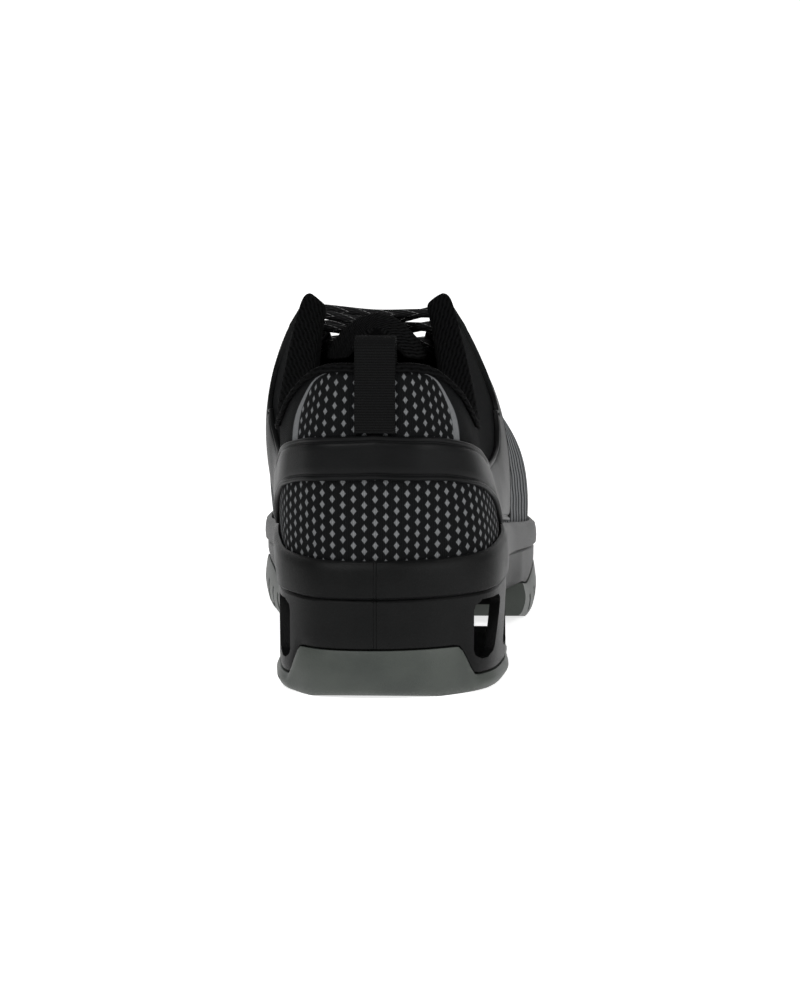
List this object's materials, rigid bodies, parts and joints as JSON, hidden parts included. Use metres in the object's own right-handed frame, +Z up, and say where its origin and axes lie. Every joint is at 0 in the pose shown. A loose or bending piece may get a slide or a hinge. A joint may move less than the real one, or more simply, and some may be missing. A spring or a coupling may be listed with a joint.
{
  "type": "safety shoe",
  "caption": "Right low-cut lace-up safety shoe with knit upper, moulded side frame, padded collar, heel pull loop, cage-heel midsole and treaded rubber outsole.",
  "frame": {"origin": "middle of the underside of the whole shoe, on the floor", "axes": "+Z up, +Y from heel to toe, +X to the outer (lateral) side of the right foot"},
  "size_m": [0.1148, 0.3008, 0.1344],
  "materials": {
    "outsole_rubber": "satin",
    "midsole_foam": "satin",
    "moulded_frame": "satin",
    "knit": "matte knit",
    "lining": "matte mesh",
    "webbing": "ribbed webbing",
    "lace_cord": "round braided cord"
  },
  "bodies": {
    "root": {"outsole_heel": "outsole_rubber", "outsole_forefoot": "outsole_rubber", "midsole": "midsole_foam", "insole": "lining", "upper": "knit", "side_frame": "moulded_frame", "collar_pad": "lining", "tongue": "lining", "lace": "lace_cord", "pull_loop": "webbing"}
  },
  "joints": []
}
